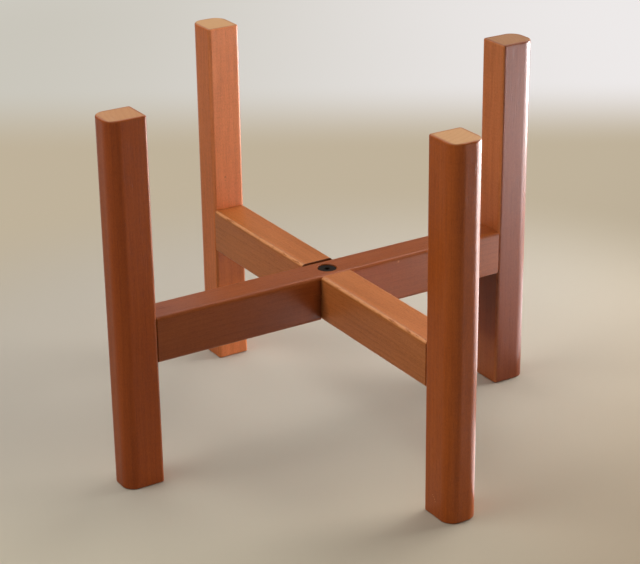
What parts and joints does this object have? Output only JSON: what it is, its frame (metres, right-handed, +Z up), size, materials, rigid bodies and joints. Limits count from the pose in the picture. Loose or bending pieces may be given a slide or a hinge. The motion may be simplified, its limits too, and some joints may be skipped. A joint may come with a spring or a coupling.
{
  "type": "plant stand",
  "caption": "Low wooden plant stand for one round pot: round-edged posts on two crossed, cross-lapped rails with a sunk centre bolt.",
  "frame": {"origin": "on the floor, under the middle of the crossing of the two rails", "axes": "+Z up; the upper rail runs along X and the lower rail along Y, with a post at each end; the stand's height is its shortest extent"},
  "size_m": [0.3816, 0.3816, 0.2985],
  "materials": {
    "post_wood": "reddish-brown stain under satin lacquer, paler end grain",
    "rail_wood": "reddish-brown stain under satin lacquer",
    "dowel_wood": "bare beech",
    "black_steel": "black oxide, satin",
    "zinc_steel": "zinc plated"
  },
  "bodies": {
    "root": {"leg_right": "post_wood", "leg_back": "post_wood", "leg_left": "post_wood", "leg_front": "post_wood", "upper_rail": "rail_wood", "lower_rail": "rail_wood", "dowel_right_low": "dowel_wood", "dowel_right_top": "dowel_wood", "dowel_back_low": "dowel_wood", "dowel_back_top": "dowel_wood", "dowel_left_low": "dowel_wood", "dowel_left_top": "dowel_wood", "dowel_front_low": "dowel_wood", "dowel_front_top": "dowel_wood", "centre_bolt": "black_steel", "insert_nut": "zinc_steel"}
  },
  "joints": []
}
